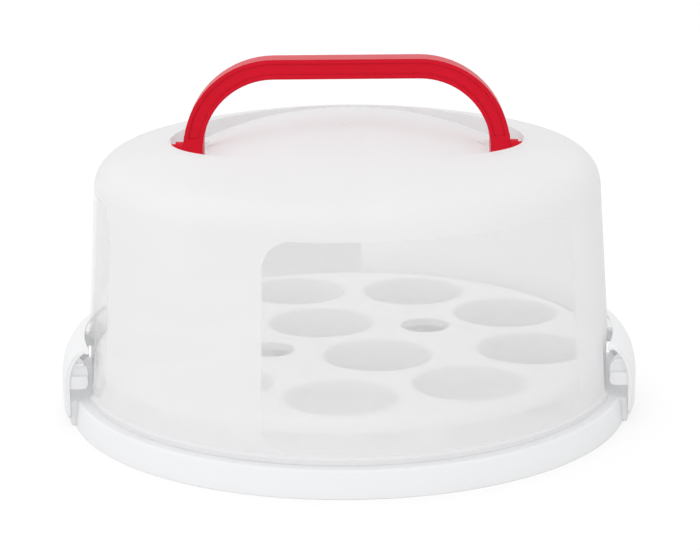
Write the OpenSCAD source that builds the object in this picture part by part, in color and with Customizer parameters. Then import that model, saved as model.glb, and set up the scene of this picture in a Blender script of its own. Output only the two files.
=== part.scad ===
// Round cake carrier: a base tray, a lift-off dome lid with a folding bow handle,
// two side clips hinged on the base, and a cupcake insert that stands in the base.
// Lengths are in millimetres. The origin is the middle of the base's underside,
// X runs through both clips and both legs of the handle, and the front is towards -Y.

/* [Base tray] */
// Width of the ledge outside the lid's wall, measured at the foot
ledge_w = 9.2; // [6:0.1:16]
// Height of the ledge that carries the lid
base_h = 16; // [14:0.5:24]
// How far the outer wall leans in from the foot to the ledge
base_lean = 1.7; // [0.5:0.1:3]
// Wall thickness of the base
base_wall = 2.2; // [1.6:0.1:3]
// Height of the inside floor above the table
floor_h = 8; // [6:0.5:11]
// Height of the locating ring above the ledge
ring_h = 6; // [3:0.5:9]
// Radius of the rounded outer edge of the ledge
ledge_round = 1.6; // [0.8:0.1:2]
// Radius of the inner foot ring
foot_r = 96; // [60:1:130]
// Number of ribs under the ledge
rib_count = 36; // [12:2:48]
// Size of the bevel where the inside floor meets the ring
cove = 3; // [1:0.5:4]

/* [Lid] */
// Outer radius of the lid's wall at its bottom edge
lid_r = 158.8; // [150:0.1:175]
// Height of the lid from its bottom edge to the crown
lid_h = 157.6; // [110:0.5:200]
// Lean of the lid's wall in degrees
lid_draft = 4.05; // [2:0.05:6]
// Wall thickness of the lid
lid_wall = 1.8; // [1.4:0.1:2.4]
// Radius of the sphere that the top is part of
crown_r = 549; // [420:1:900]
// Radius of the shoulder between the wall and the top
shoulder_r = 20; // [14:0.5:28]
// How far the bottom bead stands out from the wall
bead_w = 1.2; // [0.6:0.1:1.4]
// Height of the bottom bead
bead_h = 4; // [2:0.5:5]
// Depth of the seats in the wall behind the clips, at the bottom edge
seat_depth = 2.9; // [2:0.1:4]

/* [Handle well in the lid] */
// Half length of the oval well, along X
well_a = 105; // [100:0.5:112]
// Half width of the oval well, along Y
well_b = 80; // [60:0.5:90]
// Depth of the well at its middle
well_drop = 0.4; // [0.3:0.1:1.5]
// Curve radius of the well's floor along X
well_rx = 244; // [200:1:300]
// Curve radius of the well's floor along Y
well_ry = 500; // [300:1:700]
// Half width of the slot that a leg swings in
slot_w = 20; // [17:0.5:24]

/* [Handle] */
// Width over the outside of both legs
handle_w = 193; // [184:0.5:194]
// Height of the bow above its pivot
handle_h = 54.8; // [48:0.1:70]
// How far the pivot lies below the crown
pivot_drop = 16.5; // [16:0.1:18]
// Thickness of the bow in its own plane
bow_t = 11.5; // [10:0.5:15]
// Depth of the bow from front to back
bow_d = 17; // [12:0.5:18]
// Outer radius of the bow's corners
bow_r = 54; // [30:1:60]
// Width of the rims along the bow's faces
rim_w = 2.6; // [1.5:0.1:3.5]
// Depth of the recess between the rims
rim_deep = 1.6; // [0.8:0.1:2.5]
// Radius of the hub outside each leg
hub_r = 5; // [4.5:0.1:6]
// Length of that hub
hub_l = 5; // [3:0.5:6]
// Radius of the pivot pins
pin_r = 3.6; // [2.8:0.1:4]

/* [Side clips] */
// How far the clip's face stands out from the base's foot
clip_out = 5.6; // [5.2:0.1:8]
// Half width of a clip
clip_w = 47; // [36:0.5:54]
// Wall thickness of a clip
clip_t = 2.4; // [2:0.1:2.8]
// Height of the clip's top above the ledge
clip_h = 32.7; // [30:0.1:40]
// Height of the curved top
bend_h = 24.7; // [18:0.1:26]
// Height of the lip along the clip's upper edge
lip_h = 3.5; // [3:0.5:6]
// Half width of the hook in the middle of that lip, which bears on the lid
hook_w = 10; // [5:0.5:12]
// Radius of the clip's corners seen from outside
clip_corner = 5; // [3:0.5:8]
// Depth of the recess above the grip at each end of a clip
grip_d = 4.5; // [3:0.5:10]
// Height of the grip's lower edge above the ledge
grip_z = 7.5; // [6:0.5:10]
// Height of the grip's closed lower part
grip_h = 8; // [5:0.5:10]
// Height of the web above the grip's lower edge
web_h = 20.5; // [19:0.5:22]
// Thickness of the web
web_t = 2; // [1.6:0.1:2.4]
// Radius of the web's upper inner corner
web_r = 12; // [6:1:14]
// Distance of the grip's shelf above its lower edge
shelf_h = 16; // [12:0.5:18]
// Height of the hinge, and of the clip's lower edge, above the table
hinge_h = 4.6; // [4.4:0.1:6]
// How far the hinge barrel stays inside the clip's face
barrel_in = 0.5; // [0.4:0.1:0.8]
// Half length of the hinge barrel
barrel_w = 8; // [6:0.5:10]
// Radius of the hinge pins
hinge_pin_r = 1.4; // [1:0.1:1.5]
// Thickness of a hinge ear on the base
ear_t = 4.5; // [3:0.5:6]
// How far the base's lug stops short of the end of a clip
lug_end = 3; // [1:0.5:8]

/* [Cupcake insert] */
// Height of the insert's top above the base's floor
insert_h = 32.5; // [28:0.5:40]
// Wall thickness of the insert
insert_wall = 1.8; // [1.2:0.1:2.4]
// Radius of the rounded edge of the insert's plate
insert_round = 6; // [3:0.5:8]
// Number of cups in the outer ring
cup_count = 9; // [6:1:9]
// Inside radius of a cup at its top
cup_r = 32.2; // [24:0.1:33]
// Inside radius of a cup at its floor
cup_floor_r = 25.5; // [18:0.1:28]
// Radius of the circle that the outer cups stand on
cup_ring_r = 112; // [106:0.5:113]
// Direction of the first outer cup in degrees
cup_turn = -92; // [-180:1:180]
// Distance of the two inner cups from the middle
inner_cup_x = 38; // [36:0.5:42]
// Direction of the inner cups in degrees
inner_turn = 117; // [100:1:130]
// Radius of the two finger holes
finger_r = 15; // [10:0.5:15.5]
// Distance of the finger holes from the middle
finger_x = 53; // [50:0.5:55]
// Rounding of a cup's lip
cup_lip = 2.4; // [1:0.1:3]
// Width of a pier of the insert's skirt in degrees
pier_angle = 7; // [4:0.5:12]

/* [Fits] */
// Gap between a piece and the seat that it stands on
seat_gap = 0.3; // [0.2:0.05:0.5]
// Gap between the locating ring and the inside of the lid
ring_gap = 0.6; // [0.4:0.1:2]
// Gap between the insert's plate and the inside of the lid
insert_gap = 0.5; // [0.4:0.1:2]
// Gap between the lid's wall and the clip's hook
hook_gap = 0.5; // [0.2:0.05:0.6]
// Gap between the lid's wall and the clip's lip beside the hook
edge_gap = 3.4; // [1.5:0.1:5]
// Gap between the lid's wall and the clip's grip
grip_gap = 3.4; // [0.5:0.1:5]
// Gap between the clip's face and the base's lug behind it
lug_gap = 0.5; // [0.3:0.1:1]
// Gap between the end of a clip and the side of its seat in the lid
seat_side = 1.4; // [1:0.1:3]
// Running gap round the hinge pins
hinge_gap = 0.2; // [0.15:0.05:0.35]
// Gap between the hinge barrel and the base's wall
barrel_side = 0.3; // [0.2:0.05:0.5]
// Running gap round the handle's pins
pivot_gap = 0.2; // [0.15:0.05:0.35]
// Side gap between an ear and the barrel beside it
ear_gap = 0.5; // [0.3:0.1:0.8]

/* [Hidden] */
$fn = 96;
eps = 0.01;

base_r = lid_r + ledge_w;
lid_z = base_h + seat_gap;
crown_z = lid_z + lid_h;
seat_r = lid_r - seat_depth;
seat_half = clip_w + seat_side;
seat_top = lid_z + seat_depth / tan(lid_draft);
ring_out = seat_r - lid_wall - ring_gap;
ring_in = ring_out - base_wall;

// Outer radius of the lid's wall at height z
function wall_r(z) = lid_r - tan(lid_draft) * (z - lid_z);

// Outer radius of the base at height z
function base_out(z) = base_r - base_lean * z / base_h;

// Points on an arc round a centre, from one angle to another
function arc(cx, cy, r, a0, a1, n) =
    [for (i = [0:n]) let (a = a0 + (a1 - a0) * i / n) [cx + r * cos(a), cy + r * sin(a)]];

// Centre of the shoulder: it touches the wall's line and the crown's sphere from inside.
wall_d = lid_r * cos(lid_draft) + lid_z * sin(lid_draft);
sphere_z = crown_z - crown_r;
shoulder_k = wall_d - shoulder_r - sphere_z * sin(lid_draft);
shoulder_q = crown_r - shoulder_r;
shoulder_a = lid_draft + acos(shoulder_k / shoulder_q);
shoulder_x = shoulder_q * cos(shoulder_a);
shoulder_z = sphere_z + shoulder_q * sin(shoulder_a);

pivot_z = crown_z - pivot_drop;
floor_top = crown_z - well_drop;
leg_out = handle_w / 2;
leg_in = leg_out - bow_t;
corner_r = min(bow_r, handle_h - 1);
leg_gap = 2.5;
barrel_gap = 2;
socket_depth = 3;
socket_wall = 2;

clip_r = base_r + clip_out;
clip_top = base_h + clip_h;
hook_in = seat_r + hook_gap;
edge_in = seat_r + edge_gap;
bend_w = clip_r - edge_in;
bend_z = clip_top - bend_h;
clip_foot = hinge_h;
barrel_r = (clip_out - barrel_side - barrel_in) / 2;
hinge_x = base_r + barrel_side + barrel_r;
ear_r = barrel_r + 0.2;
ear_in = barrel_w + ear_gap;
ear_out = ear_in + ear_t;
grip_low = base_h + grip_z;
web_y = clip_w - grip_d;
grip_x = sqrt(pow(seat_r + grip_gap, 2) - pow(web_y - web_t / 2, 2));
lug_r = clip_r - clip_t - lug_gap;
lug_low = 0.4;
lug_top = base_h - 0.4;

insert_z = floor_h + seat_gap;
plate_z = floor_h + insert_h;
plate_r = seat_r - lid_wall - insert_gap;
skirt_r = ring_in - cove - insert_gap;
skirt_top_r = plate_r - 1.2;
cup_pitch = 360 / cup_count;

// Base tray

// Section of the tray from the middle out to its rim
module base_section() {
    under = floor_h - base_wall;
    shelf = base_h - base_wall;
    rim_x = base_out(base_h) - ledge_round;
    edge = arc(rim_x, base_h - ledge_round, ledge_round, 0, 90, 6);
    polygon(concat(
        [[0, under], [foot_r, under], [foot_r, 0], [foot_r + base_wall, 0], [foot_r + base_wall, under]],
        [[ring_out, under], [ring_out, shelf], [base_out(shelf) - base_wall, shelf]],
        [[base_r - base_wall, 0], [base_r, 0]],
        edge,
        [[ring_out, base_h], [ring_out, base_h + ring_h - 0.8], [ring_out - 0.8, base_h + ring_h]],
        [[ring_in + 0.8, base_h + ring_h], [ring_in, base_h + ring_h - 0.8], [ring_in, floor_h + cove]],
        [[ring_in - cove, floor_h], [0, floor_h]]
    ));
}

// Ribs in the hollow between the locating ring and the outer wall
module rim_ribs() {
    rib_h = base_h - base_wall - 2;
    for (i = [0:rib_count - 1])
        rotate([0, 0, (i + 0.5) * 360 / rib_count])
            translate([ring_out - eps, -0.8, 2])
                cube([base_r - base_wall - ring_out - 0.2, 1.6, rib_h + eps]);
}

// Two ears that hold a clip's pins
module hinge_ears() {
    ear_root = base_out(base_h) - base_wall;
    for (s = [-1, 1])
        translate([0, s * (ear_in + ear_out) / 2, hinge_h])
            rotate([90, 0, 0])
                difference() {
                    union() {
                        cylinder(h = ear_t, r = ear_r, center = true);
                        translate([ear_root - hinge_x, -ear_r, -ear_t / 2])
                            cube([hinge_x - ear_root, 2 * ear_r, ear_t]);
                    }
                    cylinder(h = ear_t + 1, r = hinge_pin_r + hinge_gap, center = true);
                }
}

// Lug that fills the space behind a clip's foot, with room for the hinge in its middle
module clip_lug() {
    half_angle = asin((clip_w - lug_end) / lug_r);
    room = ear_out + 1;
    root = base_wall / 2;
    difference() {
        rotate([0, 0, -half_angle])
            rotate_extrude(angle = 2 * half_angle, $fn = 180)
                polygon([
                    [base_out(lug_low) - root, lug_low],
                    [lug_r - 0.6, lug_low],
                    [lug_r, lug_low + 0.6],
                    [lug_r, lug_top],
                    [base_out(lug_top) - root, lug_top]
                ]);
        translate([base_r - 20, -room, -1]) cube([40, 2 * room, base_h + 2]);
    }
}

module base_tray() {
    color("whitesmoke")
        union() {
            rotate_extrude($fn = 180) base_section();
            rim_ribs();
            for (side = [0, 180])
                rotate([0, 0, side]) {
                    translate([hinge_x, 0, 0]) hinge_ears();
                    clip_lug();
                }
        }
}

// Lid

// Half section of the lid's outer form, with every face moved inwards by inset
module dome_section(inset, bottom) {
    low_r = wall_r(bottom) - inset / cos(lid_draft);
    r = shoulder_r - inset;
    bend = arc(shoulder_x, shoulder_z, r, lid_draft, shoulder_a, 12);
    top = arc(0, sphere_z, crown_r - inset, shoulder_a, 90, 14);
    polygon(concat([[0, bottom], [low_r, bottom]], bend, [for (i = [1:14]) top[i]]));
}

// Outline of the handle well
module well_outline(grow) {
    polygon([for (i = [0:71]) [(well_a + grow) * cos(5 * i), (well_b + grow) * sin(5 * i)]]);
}

// Barrel-shaped body whose top is the well's floor
module well_floor(grow) {
    axis_z = floor_top - well_ry;
    profile_r = well_rx - grow;
    translate([0, 0, axis_z])
        rotate([0, 90, 0])
            rotate_extrude($fn = 180)
                intersection() {
                    translate([well_ry - well_rx, 0]) circle(r = profile_r, $fn = 180);
                    translate([0, -well_a - 20]) square([well_ry + 10, 2 * (well_a + 20)]);
                }
}

// Space of the handle well, grown by the wall for the lid's inside
module well_space(grow) {
    low = pivot_z - 24;
    difference() {
        translate([0, 0, low]) linear_extrude(crown_z - low + 5) well_outline(grow);
        well_floor(grow);
    }
}

// Space that one leg swings in
module leg_slot(grow) {
    start = leg_in - leg_gap - grow;
    low = pivot_z - barrel_gap - 2;
    intersection() {
        translate([0, 0, pivot_z - 30]) linear_extrude(crown_z) well_outline(grow);
        union() {
            translate([start, -slot_w - grow, low - grow])
                cube([well_a, 2 * (slot_w + grow), crown_z - low]);
            translate([start, 0, pivot_z])
                rotate([0, 90, 0])
                    cylinder(h = well_a, r = bow_d / 2 + barrel_gap + grow);
        }
    }
}

// Everything that is taken out of the lid's top
module top_spaces(grow) {
    well_space(grow);
    for (side = [0, 180])
        rotate([0, 0, side]) leg_slot(grow);
}

// Space of the two seats behind the clips, grown by the wall for the lid's inside
module clip_seats(grow) {
    half = seat_half + grow;
    difference() {
        translate([-lid_r - 5, -half, lid_z - 2])
            cube([2 * lid_r + 10, 2 * half, seat_top - lid_z + 4]);
        translate([0, 0, lid_z - 3])
            cylinder(h = seat_top - lid_z + 6, r = seat_r - grow, $fn = 180);
    }
}

// Closed socket behind the well's end wall, for one pin
module pin_socket() {
    intersection() {
        translate([well_a - 1, 0, pivot_z])
            rotate([0, 90, 0])
                cylinder(h = 1 + socket_depth + socket_wall, r = pin_r + pivot_gap + socket_wall);
        rotate_extrude($fn = 180) dome_section(0.3, lid_z + lid_h / 2);
    }
}

// Small mark that the mould's gate leaves on the crown
module gate_mark() {
    translate([0, 0, floor_top - 0.5]) cylinder(h = 1.1, r = 3.2);
}

module lid() {
    color("aliceblue", 0.5)
        difference() {
            union() {
                difference() {
                    rotate_extrude($fn = 180) dome_section(0, lid_z);
                    top_spaces(0);
                    clip_seats(0);
                    difference() {
                        rotate_extrude($fn = 180) dome_section(lid_wall, lid_z - 1);
                        top_spaces(lid_wall);
                        clip_seats(lid_wall);
                    }
                }
                difference() {
                    rotate_extrude($fn = 180) lid_bead();
                    clip_seats(0);
                }
                for (side = [0, 180])
                    rotate([0, 0, side]) pin_socket();
                gate_mark();
            }
            translate([-well_a - socket_depth, 0, pivot_z])
                rotate([0, 90, 0])
                    cylinder(h = 2 * (well_a + socket_depth), r = pin_r + pivot_gap);
        }
}

// Bead round the lid's bottom edge
module lid_bead() {
    top = lid_z + bead_h;
    polygon([
        [lid_r - 1, lid_z],
        [lid_r + bead_w - 0.4, lid_z],
        [lid_r + bead_w, lid_z + 0.4],
        [lid_r + bead_w, top - 0.8],
        [wall_r(top) - 1, top + bead_w]
    ]);
}

// Handle

// Front outline of the bow, with its edge moved inwards by inset
module bow_outline(inset) {
    half = leg_out - inset;
    top = handle_h - inset;
    r = corner_r - inset;
    cx = leg_out - corner_r;
    cz = handle_h - corner_r;
    polygon(concat(
        [[half, 0], [half, cz]],
        arc(cx, cz, r, 0, 90, 18),
        arc(-cx, cz, r, 90, 180, 18),
        [[-half, 0]]
    ));
}

// Band between two outlines of the bow
module bow_band(outer, inner) {
    difference() {
        bow_outline(outer);
        translate([0, -eps]) bow_outline(inner);
    }
}

module handle() {
    recess_low = bow_d / 2;
    color("crimson")
        translate([0, 0, pivot_z])
            union() {
                difference() {
                    rotate([90, 0, 0])
                        linear_extrude(bow_d, center = true) bow_band(0, bow_t);
                    for (s = [-1, 1])
                        translate([0, s * bow_d / 2, 0])
                            rotate([90, 0, 0])
                                linear_extrude(2 * rim_deep, center = true)
                                    intersection() {
                                        bow_band(rim_w, bow_t - rim_w);
                                        translate([-handle_w, recess_low])
                                            square([2 * handle_w, handle_h]);
                                    }
                }
                for (side = [0, 180])
                    rotate([0, 0, side])
                        rotate([0, 90, 0]) {
                            translate([0, 0, leg_in]) cylinder(h = bow_t, r = bow_d / 2);
                            translate([0, 0, leg_out - 1]) cylinder(h = hub_l + 1, r = hub_r);
                            translate([0, 0, leg_out - 1])
                                cylinder(h = well_a + socket_depth - 0.5 - leg_out + 1, r = pin_r);
                        }
            }
}

// Side clips

// Points of the clip's curved top, with the curve moved inwards by inset
function bend_points(inset) =
    [for (a = [0:7.5:90]) [edge_in + (bend_w - inset) * cos(a), bend_z + (bend_h - inset) * sin(a)]];

// Section of a clip through its face, its curved top and its lip
module clip_section() {
    inner = bend_points(clip_t);
    last = len(inner) - 1;
    foot = arc(clip_r - 2.8, clip_foot + 3.9, 2.8, -55, 0, 4);
    polygon(concat(
        [[clip_r - clip_t, clip_foot - 1], [clip_r - clip_t + 0.8, clip_foot - 1]],
        foot,
        bend_points(0),
        [[edge_in, clip_top - lip_h + 0.6], [edge_in + 0.6, clip_top - lip_h]],
        [[edge_in + clip_t, clip_top - lip_h], [edge_in + clip_t, clip_top - clip_t - 0.3]],
        [for (i = [last - 2:-1:0]) inner[i]]
    ));
}

// Hook in the middle of a clip's lip, which bears on the lid's wall
module clip_hook() {
    half_angle = asin(hook_w / hook_in);
    low = clip_top - lip_h;
    rotate([0, 0, -half_angle])
        rotate_extrude(angle = 2 * half_angle, $fn = 180)
            polygon([
                [hook_in, low + 1.3],
                [edge_in + 0.5, low + 0.4],
                [edge_in + 0.5, clip_top - 0.4],
                [hook_in + 0.8, clip_top - 0.4],
                [hook_in, clip_top - 1.2]
            ]);
}

// Everything that lies within the middle of a clip's wall
module clip_inside() {
    inset = clip_t / 2;
    polygon(concat(
        [[grip_x - 5, clip_foot], [clip_r - inset, clip_foot]],
        bend_points(inset),
        [[grip_x - 5, clip_top - inset]]
    ));
}

// Face of a clip seen from outside, which trims the ring to a rounded plate
module clip_face() {
    r = clip_corner;
    side = clip_w - r;
    polygon(concat(
        arc(side, clip_top - r, r, 0, 90, 8),
        arc(-side, clip_top - r, r, 90, 180, 8),
        arc(-side, clip_foot + r, r, 180, 270, 6),
        arc(side, clip_foot + r, r, 270, 360, 6)
    ));
}

// Outline of a grip's web in the plane of the clip's section
module web_outline(top, corner) {
    r = 3.5;
    out = grip_x + 30;
    turn_end = 100;
    polygon(concat(
        [[out, grip_low]],
        arc(grip_x + r, grip_low + r, r, 270, 180, 6),
        arc(grip_x + corner, grip_low + top - corner, corner, 180, turn_end, 8),
        [[out, grip_low + top]]
    ));
}

// Grip at one end of a clip: a closed lower part, a web above it and a shelf
module clip_grip() {
    translate([0, clip_w - 1, 0])
        rotate([90, 0, 0]) linear_extrude(grip_d + web_t / 2 - 1) web_outline(grip_h, 1);
    translate([0, web_y + web_t / 2, 0])
        rotate([90, 0, 0]) linear_extrude(web_t) web_outline(web_h, web_r);
    translate([grip_x + 2, web_y, grip_low + shelf_h - 2])
        cube([30, grip_d - 1.5, 2]);
}

// One clip, on the +X side
module clip() {
    half_angle = asin(clip_w / (hook_in - 4));
    clip_hook();
    difference() {
        union() {
            intersection() {
                rotate([0, 0, -half_angle])
                    rotate_extrude(angle = 2 * half_angle, $fn = 180) clip_section();
                translate([clip_r + 5, 0, 0])
                    rotate([90, 0, -90])
                        linear_extrude(60) clip_face();
            }
            intersection() {
                rotate([0, 0, -half_angle])
                    rotate_extrude(angle = 2 * half_angle, $fn = 180) clip_inside();
                union() {
                    clip_grip();
                    mirror([0, 1, 0]) clip_grip();
                }
            }
        }
        hinge_notch();
    }
    translate([hinge_x, 0, hinge_h])
        rotate([90, 0, 0]) {
            cylinder(h = 2 * barrel_w, r = barrel_r, center = true);
            cylinder(h = 2 * (ear_out - 0.6), r = hinge_pin_r, center = true);
        }
}

// Room for the ears at the clip's lower edge
module hinge_notch() {
    clear = ear_out + 0.6;
    ear_top = hinge_h + ear_r + 1.5;
    for (s = [0, 180])
        rotate([0, 0, s])
            translate([s == 0 ? hinge_x - 10 : -hinge_x - 20, barrel_w, 0])
                cube([30, clear - barrel_w, ear_top]);
}

module clip_right() {
    color("white") clip();
}

module clip_left() {
    color("white") rotate([0, 0, 180]) clip();
}

// Cupcake insert

// Centres of the cups: the outer ring, then the two inner ones
cup_places = concat(
    [for (i = [0:cup_count - 1]) let (a = cup_turn + i * cup_pitch) [cup_ring_r * cos(a), cup_ring_r * sin(a)]],
    [for (s = [0, 180]) let (a = inner_turn + s) [inner_cup_x * cos(a), inner_cup_x * sin(a)]]
);

// Inside or outside form of a cup, with a rounded lip at the top
module cup_form(grow, floor_z) {
    slope = (cup_r - cup_floor_r) / (plate_z - insert_z - insert_wall);
    low_r = cup_floor_r + grow + (floor_z - insert_z - insert_wall) * slope;
    lip = cup_lip;
    top = plate_z;
    rotate_extrude($fn = 96)
        polygon(concat(
            [[0, floor_z], [low_r - 2, floor_z], [low_r, floor_z + 2]],
            grow > 0
                ? [[cup_r + grow, top - insert_wall / 2], [0, top - insert_wall / 2]]
                : concat(
                    [[cup_r - lip * slope, top - lip]],
                    arc(cup_r + lip, top - lip, lip, 180, 90, 5),
                    [[cup_r + lip, top + 1], [0, top + 1]]
                )
        ));
}

// Plate with its rounded edge, and the skirt below it
module plate_section() {
    r = insert_round;
    under = plate_z - insert_wall;
    polygon(concat(
        [[0, under], [plate_r - r, under]],
        arc(plate_r - r, plate_z - r, r - insert_wall, 90, 0, 6),
        [[plate_r - insert_wall, plate_z - r - 2], [plate_r, plate_z - r - 2]],
        arc(plate_r - r, plate_z - r, r, 0, 90, 8),
        [[0, plate_z]]
    ));
}

// Skirt ring that the piers are cut from
module skirt_section() {
    top = plate_z - insert_round;
    polygon([
        [skirt_r - insert_wall, insert_z],
        [skirt_r, insert_z],
        [skirt_top_r, top],
        [plate_r - 0.4, top + 0.6],
        [plate_r - insert_wall - 1.6, top + 0.6]
    ]);
}

// Openings between the piers, one in front of each outer cup
module skirt_arches() {
    half = (cup_pitch - pier_angle) / 2;
    arch_top = plate_z - insert_round - 2.5;
    for (i = [0:cup_count - 1])
        rotate([0, 0, cup_turn + i * cup_pitch - half])
            rotate_extrude(angle = 2 * half, $fn = 180)
                translate([skirt_r - 8, insert_z - 1])
                    square([20, arch_top - insert_z + 1]);
}

module cupcake_insert() {
    color("white")
        difference() {
            union() {
                rotate_extrude($fn = 180) plate_section();
                difference() {
                    rotate_extrude($fn = 180) skirt_section();
                    skirt_arches();
                }
                for (p = cup_places)
                    translate(p) cup_form(insert_wall, insert_z);
                for (s = [0, 180])
                    rotate([0, 0, inner_turn - 90 + s])
                        translate([finger_x, 0, plate_z - 5])
                            cylinder(h = 5 - eps, r = finger_r + insert_wall);
            }
            for (p = cup_places)
                translate(p) cup_form(0, insert_z + insert_wall);
            for (s = [0, 180])
                rotate([0, 0, inner_turn - 90 + s])
                    translate([finger_x, 0, plate_z - 8])
                        cylinder(h = 12, r = finger_r);
        }
}

base_tray();
lid();
handle();
clip_left();
clip_right();
cupcake_insert();
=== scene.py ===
"""Looks of a round cake carrier: a milky dome lid with clear windows, a red bow handle, and white
base, clips and cupcake insert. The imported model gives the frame, and each piece here takes its place
from it. Lengths are in metres unless a name says otherwise."""
import math

import bmesh
import bpy
from mathutils import Matrix, Vector


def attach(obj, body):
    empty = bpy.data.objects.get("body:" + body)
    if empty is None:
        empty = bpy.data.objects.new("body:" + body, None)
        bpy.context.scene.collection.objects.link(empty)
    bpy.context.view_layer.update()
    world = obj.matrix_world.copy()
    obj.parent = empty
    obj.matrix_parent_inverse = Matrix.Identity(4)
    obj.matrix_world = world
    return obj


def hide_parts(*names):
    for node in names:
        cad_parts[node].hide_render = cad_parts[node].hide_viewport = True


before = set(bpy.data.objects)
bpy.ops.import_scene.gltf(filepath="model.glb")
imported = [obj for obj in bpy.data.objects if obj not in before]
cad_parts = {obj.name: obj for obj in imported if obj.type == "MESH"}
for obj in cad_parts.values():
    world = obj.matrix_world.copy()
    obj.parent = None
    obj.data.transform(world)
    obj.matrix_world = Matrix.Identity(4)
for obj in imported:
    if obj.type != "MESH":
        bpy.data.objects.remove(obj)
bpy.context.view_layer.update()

MM = 0.001

# The photograph's camera, fitted to the round base, the lid's outline and the clips
CAMERA_AIM = Vector((0, 0, 60 * MM))
CAMERA_DISTANCE = 1.3228
CAMERA_RISE = math.radians(16.225)
CAMERA_YAW = math.radians(0.247)
CAMERA_ROLL = math.radians(-0.536)
CAMERA_LENS = 112.24
SENSOR_WIDTH = 36.0
CAMERA_SHIFT = (0.0023, 0.0446)

# The clear windows in the lid's frosted wall, spaced evenly
WINDOW_COUNT = 3
WINDOW_MIDDLE = math.radians(19.6)
WINDOW_HALF = math.radians(37.3)
WINDOW_RADIUS = 152 * MM
WINDOW_LOW = 22 * MM
WINDOW_HIGH = 138.5 * MM
WINDOW_CORNER = 17 * MM
WINDOW_EDGE = 0.5 * MM

# How much of what lies behind it the lid hides from the eye: the frosted wall, the windows at their low
# edge, and the windows above the height where that haze ends
FROST = 0.76
PANE_LOW = 0.74
PANE_HIGH = 0.30
PANE_FADE = 58 * MM
# The same for the light that fills the inside, on the frosted wall and in the windows
FROST_TO_LIGHT = 0.10
PANE_TO_LIGHT = 0.06
FROST_ROUGH = 0.5
PANE_ROUGH = 0.07
PANE_COLOUR = (0.90, 0.90, 0.905)
# The usual height of the skin on the frosted wall, taken off so that a window's edge makes no step
SKIN_LEVEL = 0.8
SKIN_STRENGTH = 0.4

# Vertices closer than this are one, and edges sharper than this stay sharp
MERGE_DISTANCE = 0.002 * MM
SHARP_ANGLE = math.radians(28)

FLOOR_HALF = 4.0
FLOOR_DROP = 0.2 * MM
# Share and strength of white that the floor adds for the eye alone, so that it still keeps a shadow
FLOOR_SHARE = 0.6
FLOOR_GLOW = 1.12

# Strength of the studio light on the left and on the right, and what comes on top of it in front
LIGHT_LEFT_RIGHT = (1.11, 0.87)
LIGHT_LEFT_END = -0.2
LIGHT_FRONT = 0.32
# Strength of what the gloss reflects at the sides and in front, and where one turns into the other
GLOSS_SIDE_FRONT = (1.2, 0.3)
GLOSS_TURN = (0.68, 0.76)

TOP_LIGHT_PLACE = Vector((-0.3, 0.2, 1.6))
TOP_LIGHT_AIM = Vector((0, 0, 0.05))
TOP_LIGHT_SIZE = 1.4
TOP_LIGHT_WATTS = 2.0


def feed(tree, socket, value):
    """Links an output to an input, or sets the input to a number or to a colour of three parts."""
    if isinstance(value, bpy.types.NodeSocket):
        tree.links.new(value, socket)
    elif isinstance(value, tuple):
        socket.default_value = (*value, 1)
    else:
        socket.default_value = value


def math_node(tree, operation, *values):
    """Adds a maths node. Its values are numbers or outputs."""
    node = tree.nodes.new("ShaderNodeMath")
    node.operation = operation
    for socket, value in zip(node.inputs, values):
        feed(tree, socket, value)
    return node.outputs[0]


def ranged(tree, value, low, high, start=0.0, end=1.0, smooth=False):
    """Maps a value from the range start to end to the range low to high."""
    node = tree.nodes.new("ShaderNodeMapRange")
    if smooth:
        node.interpolation_type = "SMOOTHSTEP"
    tree.links.new(value, node.inputs["Value"])
    node.inputs["From Min"].default_value = start
    node.inputs["From Max"].default_value = end
    node.inputs["To Min"].default_value = low
    node.inputs["To Max"].default_value = high
    return node.outputs["Result"]


def blend(tree, mask, first, second, kind="FLOAT"):
    """Goes from first to second with a mask. Both are numbers or, with the kind RGBA, colours."""
    mix = tree.nodes.new("ShaderNodeMix")
    mix.data_type = kind
    feed(tree, mix.inputs["Factor"], mask)
    feed(tree, mix.inputs["A"], first)
    feed(tree, mix.inputs["B"], second)
    return mix.outputs["Result"]


def shader_blend(tree, mask, first, second):
    """Goes from one shader to another with a mask."""
    mix = tree.nodes.new("ShaderNodeMixShader")
    tree.links.new(mask, mix.inputs["Fac"])
    tree.links.new(first, mix.inputs[1])
    tree.links.new(second, mix.inputs[2])
    return mix.outputs["Shader"]


def split_place(tree, output="Object"):
    """A place or direction, split into its X, Y and Z outputs."""
    split = tree.nodes.new("ShaderNodeSeparateXYZ")
    tree.links.new(tree.nodes.new("ShaderNodeTexCoord").outputs[output], split.inputs["Vector"])
    return split.outputs


def seen_straight(tree, path):
    """1 for rays from the eye, also where they have passed through clear plastic."""
    return math_node(tree, "MAXIMUM", path.outputs["Is Camera Ray"], path.outputs["Is Transmission Ray"])


def new_group(name, inputs, outputs):
    """A shader node group with named inputs (name, default) and named outputs."""
    tree = bpy.data.node_groups.new(name, "ShaderNodeTree")
    for label, default in inputs:
        socket = tree.interface.new_socket(name=label, in_out="INPUT", socket_type="NodeSocketFloat")
        socket.default_value = default
    for label in outputs:
        tree.interface.new_socket(name=label, in_out="OUTPUT", socket_type="NodeSocketFloat")
    return tree, tree.nodes.new("NodeGroupInput").outputs, tree.nodes.new("NodeGroupOutput").inputs


def place_group(material, tree, **values):
    """Puts a node group into a material with its own values, and returns its outputs."""
    node = material.nodes.new("ShaderNodeGroup")
    node.node_tree = tree
    for name, value in values.items():
        node.inputs[name.replace("_", " ")].default_value = value
    return node.outputs


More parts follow.
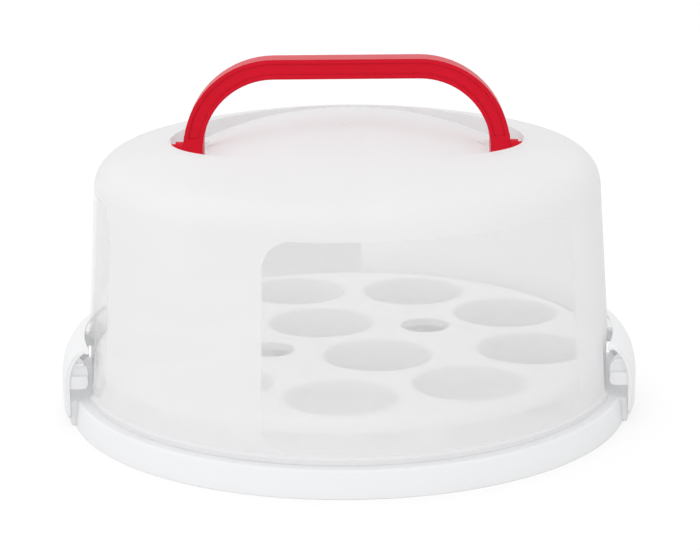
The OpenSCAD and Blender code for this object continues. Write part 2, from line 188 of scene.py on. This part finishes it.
def new_material(name):
    """An empty material with one principled surface."""
    material = bpy.data.materials.new(name)
    material.use_nodes = True
    tree = material.node_tree
    tree.nodes.clear()
    output = tree.nodes.new("ShaderNodeOutputMaterial")
    surface = tree.nodes.new("ShaderNodeBsdfPrincipled")
    tree.links.new(surface.outputs["BSDF"], output.inputs["Surface"])
    return material, tree, surface


def moulded_skin():
    """Slow mottling and a fine grain, as on moulded plastic. Gives a mask and a height."""
    tree, given, out = new_group(
        "moulded skin",
        [("Mottle Scale", 30.0), ("Grain Scale", 900.0), ("Grain Share", 0.3)],
        ["Mottle", "Height"],
    )
    coordinates = tree.nodes.new("ShaderNodeTexCoord")
    mottle = tree.nodes.new("ShaderNodeTexNoise")
    mottle.inputs["Detail"].default_value = 2.0
    grain = tree.nodes.new("ShaderNodeTexNoise")
    grain.inputs["Detail"].default_value = 1.0
    for noise, scale in ((mottle, "Mottle Scale"), (grain, "Grain Scale")):
        tree.links.new(coordinates.outputs["Object"], noise.inputs["Vector"])
        tree.links.new(given[scale], noise.inputs["Scale"])
    fine = math_node(tree, "MULTIPLY", grain.outputs["Fac"], given["Grain Share"])
    tree.links.new(mottle.outputs["Fac"], out["Mottle"])
    tree.links.new(math_node(tree, "ADD", mottle.outputs["Fac"], fine), out["Height"])
    return tree


def window_mask():
    """1 in the clear windows and 0 on the frosted wall, from the place on the lid."""
    tree, given, out = new_group(
        "lid windows",
        [("Middle", WINDOW_MIDDLE), ("Half Angle", WINDOW_HALF), ("Low", WINDOW_LOW),
         ("High", WINDOW_HIGH), ("Corner", WINDOW_CORNER), ("Edge", WINDOW_EDGE)],
        ["Clear"],
    )
    pitch = 2 * math.pi / WINDOW_COUNT
    place = split_place(tree)

    def step(operation, *values):
        return math_node(tree, operation, *values)

    # Angle from the middle of the nearest window, and how far that is past the start of its corners
    turn = step("ARCTAN2", place["X"], step("MULTIPLY", place["Y"], -1.0))
    shifted = step("ADD", step("SUBTRACT", turn, given["Middle"]), 2 * math.pi + pitch / 2)
    aside = step("ABSOLUTE", step("SUBTRACT", step("MODULO", shifted, pitch), pitch / 2))
    across = step("MULTIPLY", step("SUBTRACT", aside, given["Half Angle"]), WINDOW_RADIUS)
    across = step("MAXIMUM", step("ADD", across, given["Corner"]), 0.0)

    # The same for the height
    middle = step("MULTIPLY", step("ADD", given["Low"], given["High"]), 0.5)
    half = step("SUBTRACT", given["High"], middle)
    upright = step("SUBTRACT", step("ABSOLUTE", step("SUBTRACT", place["Z"], middle)), half)
    upright = step("MAXIMUM", step("ADD", upright, given["Corner"]), 0.0)

    squares = step("ADD", step("POWER", across, 2.0), step("POWER", upright, 2.0))
    outside = step("SUBTRACT", step("SQRT", squares), given["Corner"])
    clear = ranged(tree, step("DIVIDE", outside, given["Edge"]), 1.0, 0.0, -1.0, 1.0, smooth=True)
    tree.links.new(clear, out["Clear"])
    return tree


def let_light_in(tree, surface, seen, through):
    """Opacity of a milky plastic: seen for the eye, and through for the light that fills its hollows."""
    path = tree.nodes.new("ShaderNodeLightPath")
    lit = math_node(tree, "MAXIMUM", path.outputs["Is Shadow Ray"], path.outputs["Is Diffuse Ray"])
    tree.links.new(blend(tree, lit, seen, through), surface.inputs["Alpha"])


def raise_skin(tree, surface, height, height_mm, edge_mm=0.0):
    """Bump from a skin's height and, where edge_mm is given, edges that look rounded by that radius."""
    bump = tree.nodes.new("ShaderNodeBump")
    bump.inputs["Distance"].default_value = height_mm * MM
    bump.inputs["Strength"].default_value = SKIN_STRENGTH
    tree.links.new(height, bump.inputs["Height"])
    if edge_mm:
        edges = tree.nodes.new("ShaderNodeBevel")
        edges.inputs["Radius"].default_value = edge_mm * MM
        tree.links.new(edges.outputs["Normal"], bump.inputs["Normal"])
    tree.links.new(bump.outputs["Normal"], surface.inputs["Normal"])


def moulded_plastic(name, dark, light, rough, skin_mm, specular, edge_mm, through):
    """Moulded plastic with slow mottling in colour and gloss, a fine skin and softly rounded edges."""
    material, tree, surface = new_material(name)
    skin = place_group(tree, SKIN)
    tree.links.new(blend(tree, skin["Mottle"], dark, light, "RGBA"), surface.inputs["Base Color"])
    tree.links.new(ranged(tree, skin["Mottle"], *rough), surface.inputs["Roughness"])
    surface.inputs["Specular IOR Level"].default_value = specular
    let_light_in(tree, surface, 1.0, through)
    raise_skin(tree, surface, skin["Height"], skin_mm, edge_mm)
    return material


def frosted_plastic():
    """Milky polypropylene, frosted outside the windows and polished in them."""
    material, tree, surface = new_material("frosted_lid_plastic")
    clear = place_group(tree, window_mask())["Clear"]
    skin = place_group(tree, SKIN, Mottle_Scale=14.0, Grain_Scale=700.0, Grain_Share=0.6)
    white = blend(tree, skin["Mottle"], (0.90, 0.895, 0.91), (0.93, 0.925, 0.935), "RGBA")
    tree.links.new(blend(tree, clear, white, PANE_COLOUR, "RGBA"), surface.inputs["Base Color"])
    tree.links.new(ranged(tree, clear, FROST_ROUGH, PANE_ROUGH), surface.inputs["Roughness"])
    surface.inputs["Specular IOR Level"].default_value = 0.35
    surface.inputs["IOR"].default_value = 1.49

    height = split_place(tree)["Z"]
    pane = ranged(tree, height, PANE_LOW - FROST, PANE_HIGH - FROST, WINDOW_LOW, PANE_FADE, smooth=True)
    seen = math_node(tree, "ADD", math_node(tree, "MULTIPLY", clear, pane), FROST)
    let_light_in(tree, surface, seen, ranged(tree, clear, FROST_TO_LIGHT, PANE_TO_LIGHT))

    level = math_node(tree, "SUBTRACT", skin["Height"], SKIN_LEVEL)
    frosted = math_node(tree, "SUBTRACT", 1.0, clear)
    raise_skin(tree, surface, math_node(tree, "MULTIPLY", level, frosted), 0.12)
    return material


def dressed(node, body, material):
    """A merged copy of a CAD node with smooth shading and a finish of its own."""
    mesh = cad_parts[node].data.copy()
    mesh.name = node + "_moulding"
    shape = bmesh.new()
    shape.from_mesh(mesh)
    bmesh.ops.remove_doubles(shape, verts=shape.verts, dist=MERGE_DISTANCE)
    for edge in shape.edges:
        edge.smooth = len(edge.link_faces) == 2 and edge.calc_face_angle(math.pi) < SHARP_ANGLE
    for face in shape.faces:
        face.smooth = True
    shape.to_mesh(mesh)
    shape.free()
    if "custom_normal" in mesh.attributes:
        mesh.attributes.remove(mesh.attributes["custom_normal"])
    mesh.materials.clear()
    mesh.materials.append(material)
    piece = bpy.data.objects.new(node + "_moulding", mesh)
    bpy.context.scene.collection.objects.link(piece)
    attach(piece, body)
    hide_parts(node)


def make_pieces():
    """All six pieces of the carrier in their own plastics."""
    white = moulded_plastic(
        "white_plastic", dark=(0.94, 0.945, 0.957), light=(0.965, 0.97, 0.978),
        rough=(0.34, 0.44), skin_mm=0.04, specular=0.4, edge_mm=0.7, through=0.4)
    thin_white = moulded_plastic(
        "insert_plastic", dark=(0.95, 0.95, 0.957), light=(0.97, 0.97, 0.975),
        rough=(0.4, 0.5), skin_mm=0.04, specular=0.35, edge_mm=0.5, through=0.35)
    red = moulded_plastic(
        "red_plastic", dark=(0.68, 0.001, 0.016), light=(0.76, 0.002, 0.024),
        rough=(0.3, 0.4), skin_mm=0.05, specular=0.16, edge_mm=1.3, through=0.25)
    dressed("base_tray", "base", white)
    dressed("clip_left", "clip_left", white)
    dressed("clip_right", "clip_right", white)
    dressed("cupcake_insert", "insert", thin_white)
    dressed("handle", "handle", red)
    dressed("lid", "lid", frosted_plastic())


def make_floor():
    """A plain white floor that keeps the object's shadow and shows white elsewhere."""
    half = FLOOR_HALF
    corners = [(-half, -half, 0), (half, -half, 0), (half, half, 0), (-half, half, 0)]
    mesh = bpy.data.meshes.new("floor")
    mesh.from_pydata(corners, [], [(0, 1, 2, 3)])
    floor = bpy.data.objects.new("floor", mesh)
    bpy.context.scene.collection.objects.link(floor)
    floor.location.z = -FLOOR_DROP
    material, tree, surface = new_material("floor_paper")
    surface.inputs["Base Color"].default_value = (0.93, 0.93, 0.93, 1)
    surface.inputs["Roughness"].default_value = 0.9
    surface.inputs["Specular IOR Level"].default_value = 0.1
    glow = tree.nodes.new("ShaderNodeEmission")
    glow.inputs["Strength"].default_value = FLOOR_GLOW
    straight = seen_straight(tree, tree.nodes.new("ShaderNodeLightPath"))
    share = math_node(tree, "MULTIPLY", straight, FLOOR_SHARE)
    paper = shader_blend(tree, share, surface.outputs["BSDF"], glow.outputs["Emission"])
    output = next(node for node in tree.nodes if node.type == "OUTPUT_MATERIAL")
    tree.links.new(paper, output.inputs["Surface"])
    mesh.materials.append(material)


def make_world():
    """Soft studio light that falls off to the right, and a dark room in front for the gloss."""
    world = bpy.data.worlds.new("studio")
    bpy.context.scene.world = world
    world.use_nodes = True
    tree = world.node_tree
    tree.nodes.clear()
    output = tree.nodes.new("ShaderNodeOutputWorld")
    way = split_place(tree, "Generated")
    path = tree.nodes.new("ShaderNodeLightPath")
    toward_front = math_node(tree, "MULTIPLY", way["Y"], -1.0)
    aside = ranged(tree, way["X"], *LIGHT_LEFT_RIGHT, start=LIGHT_LEFT_END)
    ahead = ranged(tree, toward_front, 0.0, LIGHT_FRONT)
    strengths = (
        math_node(tree, "ADD", aside, ahead),
        ranged(tree, toward_front, *GLOSS_SIDE_FRONT, *GLOSS_TURN, smooth=True),
        1.0,
    )
    shades = []
    for strength in strengths:
        shade = tree.nodes.new("ShaderNodeBackground")
        feed(tree, shade.inputs["Strength"], strength)
        shades.append(shade.outputs["Background"])
    light, gloss, seen = shades
    lit = shader_blend(tree, path.outputs["Is Glossy Ray"], light, gloss)
    tree.links.new(shader_blend(tree, seen_straight(tree, path), lit, seen), output.inputs["Surface"])


def make_top_light():
    """A weak square lamp above, that gives the shoulder of the lid its shape."""
    lamp = bpy.data.lights.new("top_light", "AREA")
    lamp.shape = "RECTANGLE"
    lamp.size = TOP_LIGHT_SIZE
    lamp.size_y = TOP_LIGHT_SIZE
    lamp.energy = TOP_LIGHT_WATTS
    light = bpy.data.objects.new("top_light", lamp)
    bpy.context.scene.collection.objects.link(light)
    light.location = TOP_LIGHT_PLACE
    light.rotation_euler = (TOP_LIGHT_AIM - TOP_LIGHT_PLACE).to_track_quat("-Z", "Y").to_euler()


def make_camera():
    """The camera that sees the carrier as the photograph does."""
    data = bpy.data.cameras.new("camera")
    data.lens = CAMERA_LENS
    data.sensor_width = SENSOR_WIDTH
    data.shift_x, data.shift_y = CAMERA_SHIFT
    back = Vector((
        math.sin(CAMERA_YAW) * math.cos(CAMERA_RISE),
        -math.cos(CAMERA_YAW) * math.cos(CAMERA_RISE),
        math.sin(CAMERA_RISE),
    ))
    camera = bpy.data.objects.new("camera", data)
    bpy.context.scene.collection.objects.link(camera)
    turn = (-back).to_track_quat("-Z", "Y").to_matrix().to_4x4()
    camera.matrix_world = (
        Matrix.Translation(CAMERA_AIM + back * CAMERA_DISTANCE) @ turn @ Matrix.Rotation(CAMERA_ROLL, 4, "Z")
    )
    bpy.context.scene.camera = camera


SKIN = moulded_skin()
make_camera()
make_world()
make_floor()
make_top_light()
make_pieces()
bpy.context.scene.view_settings.view_transform = "Standard"
